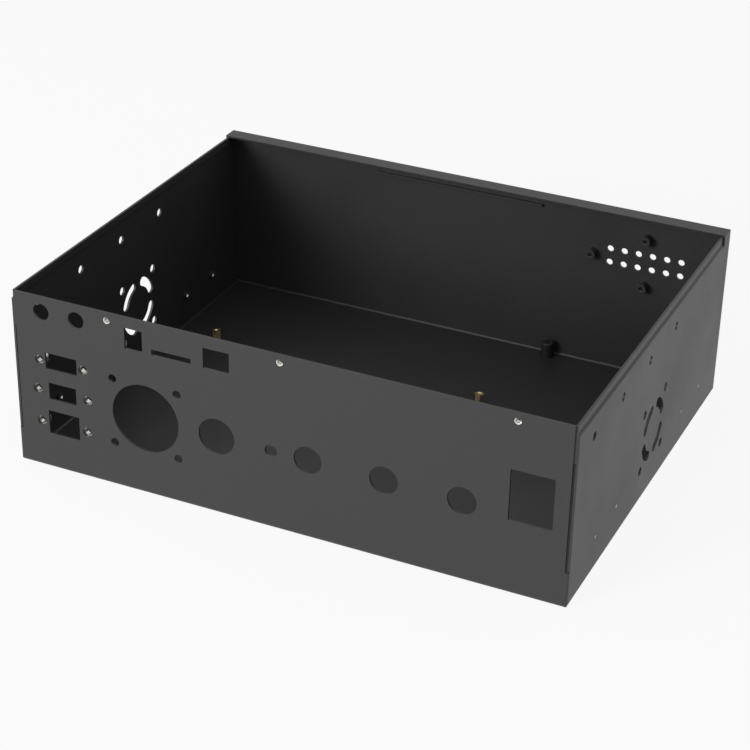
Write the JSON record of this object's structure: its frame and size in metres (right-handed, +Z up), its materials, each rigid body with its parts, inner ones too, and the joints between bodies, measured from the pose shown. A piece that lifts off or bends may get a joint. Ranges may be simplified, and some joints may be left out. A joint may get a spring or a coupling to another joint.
{
  "type": "sheet metal chassis",
  "caption": "Open folded sheet metal tray for electronics, with socket cut-outs in the front, vented sides, stepped side tops and a back lip for a screwed lid.",
  "frame": {"origin": "middle of the underside of the base", "axes": "+X to the right along the front panel, +Y from the front to the back, +Z up"},
  "size_m": [0.37, 0.289, 0.1224],
  "materials": {
    "powder_coat": "fine textured matte powder coat, charcoal",
    "plated_steel": "bright zinc plated",
    "brass": "turned, satin",
    "black_nylon": "moulded matte"
  },
  "bodies": {
    "root": {"chassis_body": "powder_coat", "lid_tongue_bar": "powder_coat", "lid_nuts": "plated_steel", "connector_nuts": "plated_steel", "side_nuts": "plated_steel", "wall_standoffs": "powder_coat", "board_standoffs": "brass", "rear_spacer": "black_nylon", "floor_screws": "plated_steel"}
  },
  "joints": []
}
